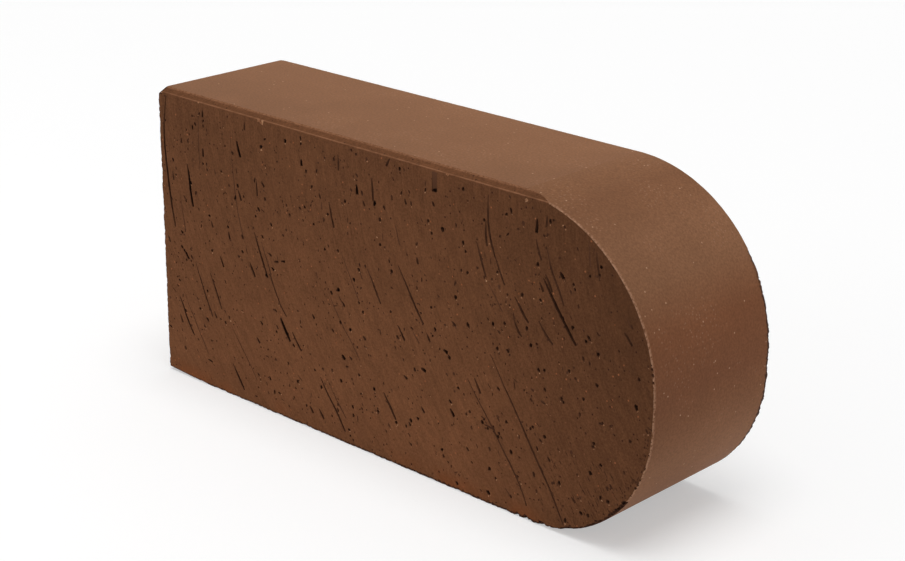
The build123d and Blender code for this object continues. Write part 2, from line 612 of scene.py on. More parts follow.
def scatter(cutters, side, count, sizes, stretches, highlight_share, dice):
    """Scatters pits over a cut face: sizes in mm, stretches along the drag, and the share with a painted highlight
    below.
    """
    made = 0
    while made < count:
        x, z = dice.uniform(1.5, 249), dice.uniform(1.5, 117.5)
        spot = on_face(x, z, side)
        if skin(spot)[0] < clear_of_rim:
            continue
        across = dice.uniform(*sizes)
        along = across * dice.uniform(*stretches)
        lean = drag_lean(z) + dice.gauss(0, 0.45)
        pit(cutters, spot, across, along, across * dice.uniform(0.15, 0.5), lean)
        # a share of the pits get a painted highlight at their lower end
        if dice.random() < highlight_share:
            highlight_below(cutters, spot, side, across, along, lean, dice)
        made += 1


scatter(cutters, low.y, 270, (0.75, 1.35), (1, 2.2), 0.4, dice)      # medium pits
scatter(cutters, low.y, 430, (0.45, 0.8), (1, 2.4), 0.2, dice)       # small ones
scatter(cutters, low.y, 70, (0.4, 0.65), (3, 7), 0, dice)            # and short fine strokes

clump = [(11.3, 56.3, 1.3), (12.6, 55.1, 1.2), (14, 53.8, 1.7), (15, 52.6, 1.4), (13.8, 51.3, 0.9),
         (16.7, 51.6, 0.9), (17.8, 50, 0.8)]      # a lump of grit that came out in pieces
for x, z, size in clump:
    pit(cutters, on_face(x, z, low.y), size, size * 1.4, size * 0.5, drag_lean(z), 2)
print("front face", len(cutters.faces), "cutter faces")

# %% [markdown]
# ## The back face
# The second wire did the same to the back, which no view of the front shows, so its marks are scattered
# in the same numbers. Its long furrows follow the wire's swing: each starts somewhere and is walked
# downwards, one short step at a time, with a little wobble.

# %% The back face's marks
def walked_furrow(x, z, run, dice):
    row = [(x, z)]
    step = 4.0
    while run > 0 and z > 3:
        lean = drag_lean(z) + dice.uniform(-0.08, 0.08)
        x, z, run = x + step * math.sin(lean), z - step * math.cos(lean), run - step
        if skin(on_face(x, z, high.y))[0] < 1.5 * MM:
            break
        row.append((x, z))
    return row


dice = random.Random(31)
back_furrows = (("faint", 26, (8, 40)), ("fine", 30, (3, 50)), ("plain", 44, (2, 16)), ("wide", 12, (2, 14)))
for name, count, runs in back_furrows:       # a width, how many, and how short and how long in millimetres
    rows = []
    while len(rows) < count:
        x, z = dice.uniform(3, 240), dice.uniform(8, 116)
        if skin(on_face(x, z, high.y))[0] < 2 * MM:
            continue
        row = walked_furrow(x, z, dice.uniform(*runs), dice)
        if len(row) > 1:
            rows.append(row)
    furrow_tubes(cutters, rows, furrow_width[name], furrow_sink[name], high.y)
# the back's pits get painted highlights below them too
scatter(cutters, high.y, 90, (1.2, 1.7), (1, 1.5), 0.4, dice)
scatter(cutters, high.y, 270, (0.75, 1.35), (1, 2.2), 0.4, dice)
scatter(cutters, high.y, 430, (0.45, 0.8), (1, 2.4), 0.2, dice)
print("both faces", len(cutters.faces), "cutter faces")

# %% [markdown]
# ## Chips on the rims
# A few bites of the rims are big enough to see one by one: notches down the square end, a torn patch at
# the middle of the nose and another low on it. They are dented spheres again, set on the rim itself.
# Along the worst stretches there are too many to place, so they are scattered: the nose's lower front
# rim, the bottom edge before it, the nose's back rim, and both edges of the underside.

# %% The chips
def rim_x(z):
    """How far the nose's outline is from the square end, at a height above the floor, in millimetres."""
    upper, lower = upper_nose / MM, lower_nose / MM
    if z > height / MM - upper:
        return length / MM - upper + math.sqrt(max(0, upper ** 2 - (z - (height / MM - upper)) ** 2))
    if z < lower:
        return length / MM - lower + math.sqrt(max(0, lower ** 2 - (lower - z) ** 2))
    return length / MM


def foot_z(x):
    """How far the outline's lower side is above the floor, at a distance from the square end, in mm."""
    radius = lower_nose / MM
    past = x - (length / MM - radius)
    return radius - math.sqrt(radius ** 2 - past ** 2) if past >= 0 else 0


square_end_chips = [(104, 0.9), (95, 0.8), (88, 0.7), (82, 1.0), (76, 0.7), (54, 1.6), (44, 0.8), (12, 0.9)]
nose_chips = [(74, 0.5), (72.5, 0.9), (70.5, 1.0), (68, 0.8), (47, 0.5), (42, 0.6), (37, 0.5), (32, 0.8),
              (30, 0.9), (28.3, 1.0), (25, 0.6), (22, 0.5), (12, 0.7), (9, 0.9), (6.5, 0.6)]
for z, size in square_end_chips:
    pit(cutters, on_face(0, z, low.y), size, size * 1.3, size * 0.5, 0, 2)
for z, size in nose_chips:
    pit(cutters, on_face(rim_x(z) - 0.3, z, low.y), size, size * 1.4, size * 0.6, drag_lean(z), 2)
print("chips placed,", len(cutters.faces), "faces")

# %% The scattered chips
for _ in range(60):                                # dots beside the nose's front rim
    z = dice.uniform(14, 52)
    size = dice.uniform(0.35, 0.75)
    pit(cutters, on_face(rim_x(z) - dice.uniform(0.4, 3), z, low.y), size, size * 1.6, size * 0.4, drag_lean(z))
for _ in range(50):                                # the foot of that rim
    z = dice.uniform(0.5, 22)
    size = dice.uniform(0.7, 1.6)
    pit(cutters, on_face(rim_x(z) - dice.uniform(0, 0.8), z, low.y), size * 1.5, size, size * 0.5, drag_lean(z))
for _ in range(34):                                # bigger bites of the bottom edge
    x = dice.uniform(165, 238)
    size = dice.uniform(1.1, 2.2)
    pit(cutters, on_face(x, foot_z(x), low.y), size, size * 0.8, size * 0.35, 0)
for _ in range(80):                                # the nose's back rim
    z = dice.uniform(1, 88)
    size = dice.uniform(0.6, 1.6)
    pit(cutters, on_face(rim_x(z) - dice.uniform(0, 0.4), z, high.y), size, size * 1.4, size * 0.7, 0)
for _ in range(80):                                # fine strokes low on the nose
    x, z = dice.uniform(203, 244), dice.uniform(3, 32)
    if skin(on_face(x, z, low.y))[0] > clear_of_rim:
        pit(cutters, on_face(x, z, low.y), dice.uniform(0.3, 0.5), dice.uniform(1.5, 3.2), 0.2, drag_lean(z))
for _ in range(60):                                # small bites of both bottom edges
    x = dice.uniform(2, 200)
    size = dice.uniform(0.4, 0.9)
    pit(cutters, on_face(x, 0, dice.choice((low.y, high.y))), size * 1.6, size, size * 0.6, 0)
print("rims chipped,", len(cutters.faces), "faces")

# %% [markdown]
# ## The gouge
# Under the bevel a flat grain scraped one short band, with straight sides and a flat bottom that gets
# deeper downwards. A box does for it. It is tilted by that slope, and its sides are divided, because the
# Boolean makes cleaner faces where a cutter's faces are about as small as the others'.

# %% The gouge
gouge_top, gouge_bottom, gouge_width = 118, 111.3, 2.4      # mm
gouge_x, gouge_deep = 151, 0.16
tilt = math.atan(gouge_deep / (gouge_top - gouge_bottom))
place = (Matrix.Translation(on_face(gouge_x, (gouge_top + gouge_bottom) / 2, low.y))
         @ Matrix.Rotation(tilt, 4, "X")
         @ Matrix.Diagonal((gouge_width * MM, gouge_deep * MM, (gouge_top - gouge_bottom) * MM, 1)))
made = bmesh.ops.create_cube(cutters, size=1.0, matrix=place)
sides = list({edge for vert in made["verts"] for edge in vert.link_edges})
bmesh.ops.subdivide_edges(cutters, edges=sides, cuts=6, use_grid_fill=True)
print("gouge", gouge_width, "by", round(gouge_top - gouge_bottom, 1), "mm")

# %% [markdown]
# ## Pale grains
# Crushed brick is mixed into the clay, so that it shrinks less. The wire opened some of its grains. They
# lie almost flush with the face, so each is a dish of a tenth of a millimetre with the grit's own colour.
# A few on the burr stood in the blade's way and are bigger.

# %% Pale grains
pale_grains = [(209.5, 112.3, 0.8), (175.8, 84.3, 1.0), (122.5, 87.2, 0.9), (37.3, 86, 1.0), (177, 98, 0.9),
               (182, 98, 0.6), (169, 86.5, 0.8), (27, 39.3, 0.6), (178.5, 3.2, 0.8), (191.7, 31, 0.8),
               (206.3, 43.2, 1.0), (193.8, 13, 0.8), (144, 19.5, 0.6), (132.5, 15.8, 0.6), (121.2, 26, 0.6),
               (113.7, 34.3, 0.7), (150.3, 52.3, 0.6), (197.5, 83.5, 0.6), (179.3, 44.5, 0.6), (246.5, 49, 1.1)]
for x, z, size in pale_grains:
    pit(cutters, on_face(x, z, low.y), size, size * 0.9, 0.1, drag_lean(z), 1, GRIT_AND_HIGHLIGHT)
burr_grains = [(24.5, 119, 1.6), (59.5, 118.3, 1.7), (61.2, 118, 2.4), (157, 118.8, 1.7), (193.3, 117.4, 1.3)]
for x, z, size in burr_grains:
    pit(cutters, on_face(x, z, low.y), size, size * 1.1, 0.35, -0.3, 2, GRIT_AND_HIGHLIGHT)
print(len(pale_grains) + len(burr_grains), "pale grains")

# %% [markdown]
# ## Closing the cutters
# A tube from a curve has an open seam at each cap. A Boolean needs closed shapes whose faces point
# outwards, so the doubles are merged first, and then the normals are worked out again.

# %% Closed cutters
bmesh.ops.remove_doubles(cutters, verts=cutters.verts, dist=2e-7)
bmesh.ops.recalc_face_normals(cutters, faces=cutters.faces)
print("cutters", len(cutters.faces), "faces, open edges:", open_edges(cutters))

# %% [markdown]
# ## Which clay shows where
# Each face gets its clay before the marks are cut: die skin where the die shaped it, wire-cut clay on the
# cut faces and the bevel, and crumbled clay on the broken rims. The cutters carry the clays of the marks'
# walls.

# %% The clays
skin_clay = bpy.data.materials.new("die_skin_clay")
wire_clay = bpy.data.materials.new("wire_cut_clay")
crumbled_clay = bpy.data.materials.new("crumbled_clay")
shaded_torn_clay = bpy.data.materials.new("shaded_torn_clay")
pale_grit_and_highlight = bpy.data.materials.new("pale_grit_and_highlight")
for material in (skin_clay, wire_clay, crumbled_clay):
    brick_mesh.materials.append(material)
widest_rim = 2.5 * MM
for face in brick_mesh.polygons:
    to_side = min(face.center.y - low.y, high.y - face.center.y)
    if crumble_reach(face.center) > 0.3 and 1e-6 < to_side < widest_rim and skin(face.center)[0] < widest_rim:
        face.material_index = 2     # the crumbled part of a rim
    elif abs(face.normal.y) > 0.9 or above_bevel(face.center) > -2e-5:
        face.material_index = 1
    else:
        face.material_index = 0
print("faces of skin, cut and crumbled clay:",
      [sum(face.material_index == index for face in brick_mesh.polygons) for index in range(3)])

# %% [markdown]
# ## Turns
# The Manifold solver is the quickest for a Boolean, but where cutters of one mesh lie on each other it
# leaves faces that overlap themselves. So the cutters are dealt out into turns that are cut one after the
# other, and within a turn no two of them come near each other. Each cutter notes the small square patches
# that it touches, and goes into the first turn in which none of them is taken.

# %% Separate cutters
def separate_pieces(mesh):
    """The closed pieces that a mesh holds, each as a list of its vertices."""
    left, pieces = set(mesh.verts), []
    for first in mesh.verts:
        if first not in left:
            continue
        left.remove(first)
        piece = [first]
        for vert in piece:
            for edge in vert.link_edges:
                other = edge.other_vert(vert)
                if other in left:
                    left.remove(other)
                    piece.append(other)
        pieces.append(piece)
    return pieces


patch = 0.5 * MM


def patches_of(piece):
    """The small square patches of a cut face that a piece touches."""
    return {(math.floor(vert.co.x / patch), math.floor(vert.co.z / patch), vert.co.y > 0) for vert in piece}


# %% Dealing them out
turn = cutters.verts.layers.int.new("turn")
turns = []          # for each turn, the patches that its cutters touch or come close to
most_turns = 7      # what would come after that lies on so many other marks that it is left out
left_out = 0
for piece in separate_pieces(cutters):
    touched = patches_of(piece)
    number = next((n for n, taken in enumerate(turns) if taken.isdisjoint(touched)), len(turns))
    for vert in piece:
        vert[turn] = number
    if number == most_turns:
        left_out += 1
        continue
    if number == len(turns):
        turns.append(set())
    turns[number] |= {(x + i, z + k, back) for x, z, back in touched for i in (-1, 0, 1) for k in (-1, 0, 1)}
print(len(turns), "turns of cutters,", left_out, "cutters left out")

# %% [markdown]
# ## Cutting the marks out
# Each turn is a mesh of its own, and a Boolean modifier takes it out of the brick. The material mode
# Transfer gives the walls of a mark the cutter's clay. The result is read back as a plain mesh, so that
# no modifier stays on the brick.

# %% The Booleans
for number in range(len(turns)):
    group = cutters.copy()
    others = [vert for vert in group.verts if vert[group.verts.layers.int["turn"]] != number]
    bmesh.ops.delete(group, geom=others, context="VERTS")
    marks_mesh = bpy.data.meshes.new("marks")
    group.to_mesh(marks_mesh)
    group.free()
    for material in (shaded_torn_clay, pale_grit_and_highlight):
        marks_mesh.materials.append(material)
    marks = bpy.data.objects.new("marks", marks_mesh)
    bpy.context.scene.collection.objects.link(marks)
    carve = brick.modifiers.new("marks", "BOOLEAN")
    carve.operation = "DIFFERENCE"
    carve.solver = "MANIFOLD"
    carve.material_mode = "TRANSFER"
    carve.object = marks
print("cutter faces in each turn:", [len(carve.object.data.polygons) for carve in brick.modifiers])
cutters.free()
carved = bpy.data.meshes.new_from_object(brick.evaluated_get(bpy.context.evaluated_depsgraph_get()))
for carve in list(brick.modifiers):
    marks, marks_mesh = carve.object, carve.object.data
    brick.modifiers.remove(carve)
    bpy.data.objects.remove(marks)
    bpy.data.meshes.remove(marks_mesh)
brick.data = carved
bpy.data.meshes.remove(brick_mesh)
carved.name = "fired_brick"

# %% [markdown]
# ## Flakes
# Where the walls of two marks meet, a Boolean sometimes leaves a flake: two faces back to back, with
# nothing between them. Nobody sees a flake, but it isn't part of a solid, so it goes.

# %% The flakes
shape = bmesh.new()
shape.from_mesh(carved)
print("cut,", len(shape.faces), "faces, open edges:", open_edges(shape))
flakes = [face for face in shape.faces
          if len({other for edge in face.edges for other in edge.link_faces}) == 2]
bmesh.ops.delete(shape, geom=flakes, context="FACES")
print(len(flakes), "faces of flakes taken away")

# %% [markdown]
# ## Smooth or sharp
# The brick is shaded smooth, but not across edges that bend by more than 28 degrees, or between a big
# face and a tiny one, where the rim's small faces would bend the shading of the long face beside them.

# %% Sharp edges
bmesh.ops.recalc_face_normals(shape, faces=shape.faces)
sharp_from = math.radians(28)
big_beside_small = 15       # times the area of the smaller face
for edge in shape.edges:
    edge.smooth = edge.is_manifold and edge.calc_face_angle(0) < sharp_from
    if edge.smooth:
        one, other = (face.calc_area() for face in edge.link_faces)
        edge.smooth = max(one, other) < big_beside_small * min(one, other)
for face in shape.faces:
    face.smooth = True
print("carved", len(shape.faces), "faces,", sum(len(face.verts) - 2 for face in shape.faces), "triangles,",
      "open edges:", open_edges(shape), "volume", round(shape.calc_volume() * 1e3, 4), "litres")
shape.to_mesh(carved)
shape.free()

# %% [markdown]
# ## How deep each point lies
# The torn clay's painted shade gets darker with depth, and a material can't measure that by itself. So each
# vertex keeps its depth under the surface as an attribute, in millimetres.

# %% Depth of each point
sunk = carved.attributes.new("sunk_mm", "FLOAT", "POINT")
for vert in carved.vertices:
    sunk.data[vert.index].value = max(0, depth(vert.co) / MM)
print("slots", [material.name for material in carved.materials])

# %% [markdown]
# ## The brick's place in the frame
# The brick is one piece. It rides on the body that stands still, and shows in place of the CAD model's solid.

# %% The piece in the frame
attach(brick, "root")
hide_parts("stove_brick")

# %% [markdown]
# ## Materials
# Every material starts from object coordinates in millimetres, so a pattern's scale is one over a real size.
# Colours are written as on a screen and turned to linear light by one function, and one small function adds
# a node. Three more add what comes up all the time: a ramp, a product, and a mix of two colours.

# %% Node helpers
def linear(hex_colour):
    """An sRGB hex colour as linear red, green, blue and alpha."""
    shares = [int(hex_colour[i:i + 2], 16) / 255 for i in (1, 3, 5)]
    return tuple(s / 12.92 if s <= 0.04045 else ((s + 0.055) / 1.055) ** 2.4 for s in shares) + (1.0,)


def add(tree, kind, settings=None, links=None):
    """Adds a node, sets its properties or input values, and links sockets to its inputs."""
    node = tree.nodes.new(kind)
    for key, value in (settings or {}).items():
        if isinstance(key, str) and hasattr(node, key):
            setattr(node, key, value)
        else:
            node.inputs[key].default_value = value
    for key, socket in (links or {}).items():
        tree.links.new(socket, node.inputs[key])
    return node


def start(material):
    """Clears a material, and gives its node tree and the object coordinates in millimetres."""
    material.use_nodes = True
    tree = material.node_tree
    tree.nodes.clear()
    place = add(tree, "ShaderNodeTexCoord")
    mm = add(tree, "ShaderNodeVectorMath", {"operation": "MULTIPLY", 1: (1 / MM,) * 3},
             {0: place.outputs["Object"]})
    return tree, mm.outputs[0]


def ramp(tree, socket, between, to=(0, 1)):
    """A number that runs steadily between two values while the socket runs between two of its own."""
    run = add(tree, "ShaderNodeMapRange", {"From Min": between[0], "From Max": between[1],
                                           "To Min": to[0], "To Max": to[1]}, {"Value": socket})
    return run.outputs[0]


def times(tree, product, *others):
    """The product of two sockets or more."""
    for other in others:
        product = add(tree, "ShaderNodeMath", {"operation": "MULTIPLY"}, {0: product, 1: other}).outputs[0]
    return product


def mixed(tree, share, one, other):
    """A mix of two colours, each of them a socket or a fixed colour. The share is how much of the second."""
    both = {6: one, 7: other}
    fixed = {slot: colour for slot, colour in both.items() if isinstance(colour, tuple)}
    linked = {slot: colour for slot, colour in both.items() if slot not in fixed}
    return add(tree, "ShaderNodeMix", {"data_type": "RGBA", **fixed}, {0: share, **linked}).outputs[2]


# %% [markdown]
# Two of the clays get painted shade in a dark ragged strip along a rim, so one function makes the mask of
# such a strip.

# %% A ragged strip
def ragged_lip(tree, mm, axis, start_at, full_at):
    """1 beyond a line across one axis, in millimetres, and 0 before it. Noise makes the line ragged."""
    bite = 1.2      # mm
    ragged = add(tree, "ShaderNodeTexNoise", {"Scale": 1 / bite, "Detail": 3.0}, {"Vector": mm})
    wobble = ramp(tree, ragged.outputs[0], (0.3, 0.7), (-0.55, 0.55))
    moved = add(tree, "ShaderNodeMath", {"operation": "ADD"}, {0: axis, 1: wobble})
    return ramp(tree, moved.outputs[0], (start_at, full_at))


# %% [markdown]
# ### Wire-cut clay
# Torn, dull and dark: nothing pressed its surface smooth, so its pores swallow light. The wire stretched
# its grain into fine streaks that follow its swing. It carries pale and rusty specks of grit.

# %% Wire-cut clay
streak_width = 0.9      # mm
grain_size = 0.9        # mm. The real grain is about 0.3 mm, too fine to show here, so it is drawn coarser.
mottle_size = 28        # mm
lump_size = 3           # mm
streak_squeeze, lump_squeeze = 0.09, 0.5    # of the height, so that the patterns are drawn out down the fall
swing_power, swing_share = 1.7, 0.0172      # mm sideways: the share of the fall in mm, raised to this power
tree, mm = start(wire_clay)
axes = add(tree, "ShaderNodeSeparateXYZ", {}, {0: mm})
fall = add(tree, "ShaderNodeMath", {"operation": "SUBTRACT", 0: swing_from}, {1: axes.outputs["Z"]})
fallen = add(tree, "ShaderNodeMath", {"operation": "MAXIMUM", 1: 0.0}, {0: fall.outputs[0]})
curved = add(tree, "ShaderNodeMath", {"operation": "POWER", 1: swing_power}, {0: fallen.outputs[0]})
swing = add(tree, "ShaderNodeMath", {"operation": "MULTIPLY", 1: swing_share}, {0: curved.outputs[0]})
across = add(tree, "ShaderNodeMath", {"operation": "SUBTRACT"}, {0: axes.outputs["X"], 1: swing.outputs[0]})
along = add(tree, "ShaderNodeMath", {"operation": "MULTIPLY", 1: streak_squeeze},
            {0: axes.outputs["Z"]})
half_along = add(tree, "ShaderNodeMath", {"operation": "MULTIPLY", 1: lump_squeeze},
                 {0: axes.outputs["Z"]})
drag = add(tree, "ShaderNodeCombineXYZ", {},
           {"X": across.outputs[0], "Y": axes.outputs["Y"], "Z": along.outputs[0]})
drag_wide = add(tree, "ShaderNodeCombineXYZ", {},
                {"X": across.outputs[0], "Y": axes.outputs["Y"], "Z": half_along.outputs[0]})
streaks = add(tree, "ShaderNodeTexNoise", {"Scale": 1 / streak_width, "Detail": 3.0, "Roughness": 0.6},
              {"Vector": drag.outputs[0]})
mottle = add(tree, "ShaderNodeTexNoise", {"Scale": 1 / mottle_size, "Detail": 2.0}, {"Vector": mm})
grain = add(tree, "ShaderNodeTexNoise", {"Scale": 1 / grain_size, "Detail": 3.0, "Roughness": 0.7},
            {"Vector": mm})
streak_tone = ramp(tree, streaks.outputs[0], (0.3, 0.7), (0.9, 1.1))
mottle_tone = ramp(tree, mottle.outputs[0], (0.3, 0.7), (0.94, 1.06))
grain_tone = ramp(tree, grain.outputs[0], (0.3, 0.7), (0.78, 1.22))
lumps = add(tree, "ShaderNodeTexNoise", {"Scale": 1 / lump_size, "Detail": 2.0},
            {"Vector": drag_wide.outputs[0]})
lump_tone = ramp(tree, lumps.outputs[0], (0.3, 0.7), (0.9, 1.1))
tone = times(tree, streak_tone, mottle_tone, grain_tone, lump_tone)

# %% [markdown]
# Painted light and shade: three slow ramps, along the height and the length, multiply the tone. They
# lighten the face low down, and darken it high up, towards the nose and at the square end.

# %% Painted light and shade on the cut face
high_up = ramp(tree, axes.outputs["Z"], (15.0, 110.0), (1.1, 0.83))
to_nose = add(tree, "ShaderNodeMapRange", {"interpolation_type": "SMOOTHSTEP", "From Min": 30.0, "From Max": 115.0,
                                           "To Min": 1.05, "To Max": 0.74}, {"Value": axes.outputs["X"]})
far_end = ramp(tree, axes.outputs["X"], (-125.0, -50.0), (0.93, 1.0))
# painted light low down, painted shade high up, towards the nose and at the square end
painted_light_and_shade = times(tree, high_up, to_nose.outputs[0], far_end)
tone = times(tree, tone, painted_light_and_shade)
toned = add(tree, "ShaderNodeVectorMath", {"operation": "SCALE", 0: linear("#714930")[:3]},
            {3: tone})

# %% [markdown]
# A Voronoi pattern has one point in each cell, which makes one speck. Most cells stay empty, some specks
# are pale and more are dark.

# %% Grit in the cut face
grit_cell = 2.2                     # mm between specks
pale_share, dark_share = 0.12, 0.3  # of all cells
grit = add(tree, "ShaderNodeTexVoronoi", {"Scale": 1 / grit_cell}, {"Vector": mm})
grit_kind = add(tree, "ShaderNodeSeparateColor", {}, {0: grit.outputs["Color"]})
grit_spot = ramp(tree, grit.outputs["Distance"], (0.19, 0.12))
is_pale = add(tree, "ShaderNodeMath", {"operation": "GREATER_THAN", 1: 1 - pale_share},
              {0: grit_kind.outputs[0]})
pale = times(tree, grit_spot, is_pale.outputs[0])
is_dark = add(tree, "ShaderNodeMath", {"operation": "LESS_THAN", 1: dark_share}, {0: grit_kind.outputs[0]})
dark = times(tree, grit_spot, is_dark.outputs[0])
grit_colour = mixed(tree, grit_kind.outputs[1], linear("#96532F"), linear("#A27A5C"))
with_pale = mixed(tree, pale, toned.outputs[0], grit_colour)
with_dark = mixed(tree, dark, with_pale, linear("#3B241A"))

# %% [markdown]
# The burr and the edge at the back of the bevel are paler in places.

# %% The burr and the bevel's upper edge
from_front = add(tree, "ShaderNodeMath", {"operation": "ADD", 1: -low.y / MM - burr_line / MM},
                 {0: axes.outputs["Y"]})
off_burr = add(tree, "ShaderNodeMath", {"operation": "ABSOLUTE"}, {0: from_front.outputs[0]})
on_burr = ramp(tree, off_burr.outputs[0], (0.34, 0.18), (0, 0.75))
up_here = add(tree, "ShaderNodeMath", {"operation": "GREATER_THAN", 1: (high.z - bevel_drop) / MM - 0.1},
              {0: axes.outputs["Z"]})
burr = times(tree, on_burr, up_here.outputs[0])
broken = ramp(tree, lumps.outputs[0], (0.35, 0.6), (0.45, 1))
burr = times(tree, burr, broken)
heel = low.y / MM + bevel_reach / MM
on_edge = ramp(tree, axes.outputs["Y"], (heel - 1.2, heel - 0.6), (0, 0.85))
grainy = ramp(tree, grain.outputs[0], (0.38, 0.58), (0.2, 1))
edge = times(tree, on_edge, up_here.outputs[0], grainy)
off_back = add(tree, "ShaderNodeMath", {"operation": "LESS_THAN", 1: heel + 0.5}, {0: axes.outputs["Y"]})
edge = times(tree, edge, off_back.outputs[0])
burr = add(tree, "ShaderNodeMath", {"operation": "MAXIMUM"}, {0: burr, 1: edge})
with_burr = mixed(tree, burr.outputs[0], with_dark, linear("#93664A"))

# %% [markdown]
# Iron in the clay came out in rusty patches near the floor. Along the very bottom, a dark ragged strip
# over the torn edge is painted shade, stronger towards the nose.

# %% Rust at the foot, and painted shade along the torn lower edge
foot = ramp(tree, axes.outputs["Z"], (7.0, 1.5), (0, 0.5))
rust_patch = ramp(tree, mottle.outputs[0], (0.5, 0.62))
rust = times(tree, foot, rust_patch)
with_rust = mixed(tree, rust, with_burr, linear("#8A4C2A"))
# painted shade: a dark ragged strip along the bottom edge
shaded_lip = ragged_lip(tree, mm, axes.outputs["Z"], 1.3, 0.9)
to_end = ramp(tree, axes.outputs["X"], (-80.0, 40.0), (0.35, 0.85))
shaded_lip = times(tree, shaded_lip, to_end)
with_shaded_lip = mixed(tree, shaded_lip, with_rust, linear("#33201A"))

# %% [markdown]
# The finest grain is too small to model, so it is bump: it tilts the light, and moves nothing.

# %% The cut surface
fine_grain = 0.15 * MM       # how high the bump is
rise = add(tree, "ShaderNodeMath", {"operation": "ADD"}, {0: streaks.outputs[0], 1: grain.outputs[0]})
bump = add(tree, "ShaderNodeBump", {"Strength": 1.0, "Distance": fine_grain}, {"Height": rise.outputs[0]})
body = add(tree, "ShaderNodeBsdfPrincipled", {"Roughness": 0.85, "Specular IOR Level": 0.04},
           {"Base Color": with_shaded_lip, "Normal": bump.outputs[0]})
add(tree, "ShaderNodeOutputMaterial", {}, {"Surface": body.outputs[0]})
print(wire_clay.name, len(tree.nodes), "nodes")

# %% [markdown]
# ### Die skin
# The die smeared the clay smooth and closed it, so the skin is paler, and shows only a faint cloudiness,
# lines along the thickness where the clay slid over the die, and a few pale specks. At a grazing angle it
# has a weak gloss.

# %% Die skin
cloud_size = 22         # mm
skin_grain = 0.8        # mm. The real grain is finer and wouldn't show, so it is drawn coarser.
line_width = 1.4        # mm
speck_cell = 3.8        # mm between pale specks
dust_cell = 1.5         # mm between grains of dust
tree, mm = start(skin_clay)
cloud = add(tree, "ShaderNodeTexNoise", {"Scale": 1 / cloud_size, "Detail": 3.0}, {"Vector": mm})
grain = add(tree, "ShaderNodeTexNoise", {"Scale": 1 / skin_grain, "Detail": 2.0}, {"Vector": mm})
slide = add(tree, "ShaderNodeVectorMath", {"operation": "MULTIPLY", 1: (1.0, 0.02, 1.0)}, {0: mm})
lines = add(tree, "ShaderNodeTexNoise", {"Scale": 1 / line_width, "Detail": 2.0},
            {"Vector": slide.outputs[0]})
cloud_tone = ramp(tree, cloud.outputs[0], (0.3, 0.7), (0.95, 1.05))
grain_tone = ramp(tree, grain.outputs[0], (0.3, 0.7), (0.85, 1.15))
line_tone = ramp(tree, lines.outputs[0], (0.3, 0.7), (0.99, 1.01))
tone = times(tree, cloud_tone, grain_tone, line_tone)
plain_skin = add(tree, "ShaderNodeVectorMath", {"operation": "SCALE", 0: linear("#875D40")[:3]},
                 {3: tone})

# %% [markdown]
# Painted light and shade colour the nose in bands: a painted reflection of the white floor low down,
# painted shade round the middle, a painted sheen above, and painted shade again where it turns into the
# top. A colour ramp by height gives their tints. A ramp holds no colour above 1, so the tints go in at half
# strength, and the product is doubled afterwards.

# %% The nose's painted light and shade
floor_reflection = (1.16, 1.19, 1.28)       # tints of the nose, times the skin's own colour: a painted reflection of the floor low down painted shade, redder and darker, round the middle a painted sheen above and painted shade again where it turns into the top
middle_shade = (0.88, 0.77, 0.76)    # redder and darker round the middle, where the flame licked it
upper_sheen = (1.03, 1.07, 1.17)    # a dusty bloom above
top_shade = (0.88, 0.86, 0.88)     # and darker again where it turns into the top
nose_light_bands = [(0, floor_reflection), (34, floor_reflection), (60, middle_shade), (80, middle_shade), (96, upper_sheen), (107, upper_sheen), (117, top_shade),
              (height / MM, (0.94, 0.94, 0.95))]
axes = add(tree, "ShaderNodeSeparateXYZ", {}, {0: mm})
# painted light and shade: the skin is lighter towards the back and darker towards the front, as if lit from behind
to_back = ramp(tree, axes.outputs["Y"], (low.y / MM, high.y / MM), (0.935, 1.07))
plain_skin = add(tree, "ShaderNodeVectorMath", {"operation": "SCALE"},
                 {0: plain_skin.outputs[0], 3: to_back})
share_up = add(tree, "ShaderNodeMath", {"operation": "DIVIDE", 1: height / MM}, {0: axes.outputs["Z"]})
light_bands = add(tree, "ShaderNodeValToRGB", {}, {0: share_up.outputs[0]})
stops = light_bands.color_ramp.elements
while len(stops) < len(nose_light_bands):
    stops.new(0.5)
for stop, (z, tint) in zip(stops, nose_light_bands):
    stop.position = z / (height / MM)
    stop.color = (*(share / 2 for share in tint), 1)
on_nose = add(tree, "ShaderNodeMapRange", {"interpolation_type": "SMOOTHSTEP", "From Min": 50.0, "From Max": 68.0},
              {"Value": axes.outputs["X"]})
light_band = mixed(tree, on_nose.outputs[0], (0.5, 0.5, 0.5, 1), light_bands.outputs[0])
light_banded = add(tree, "ShaderNodeVectorMath", {"operation": "MULTIPLY"},
             {0: plain_skin.outputs[0], 1: light_band})
toned = add(tree, "ShaderNodeVectorMath", {"operation": "SCALE", 3: 2.0}, {0: light_banded.outputs[0]})

# %% [markdown]
# A few pale specks of grit lie in the skin, and kiln dust stuck to it in clouds.

# %% Specks and dust
specks = add(tree, "ShaderNodeTexVoronoi", {"Scale": 1 / speck_cell}, {"Vector": mm})
speck_kind = add(tree, "ShaderNodeSeparateColor", {}, {0: specks.outputs["Color"]})
speck_spot = ramp(tree, specks.outputs["Distance"], (0.10, 0.04))
is_speck = add(tree, "ShaderNodeMath", {"operation": "GREATER_THAN", 1: 0.5}, {0: speck_kind.outputs[0]})
speck = times(tree, speck_spot, is_speck.outputs[0])
speckled = mixed(tree, speck, toned.outputs[0], linear("#C09A7C"))
dust = add(tree, "ShaderNodeTexVoronoi", {"Scale": 1 / dust_cell}, {"Vector": mm})
dust_spot = ramp(tree, dust.outputs["Distance"], (0.3, 0.12), (0, 0.4))
dust_patch = ramp(tree, cloud.outputs[0], (0.48, 0.6))
dusty = times(tree, dust_spot, dust_patch)
speckled = mixed(tree, dusty, speckled, linear("#A9836A"))
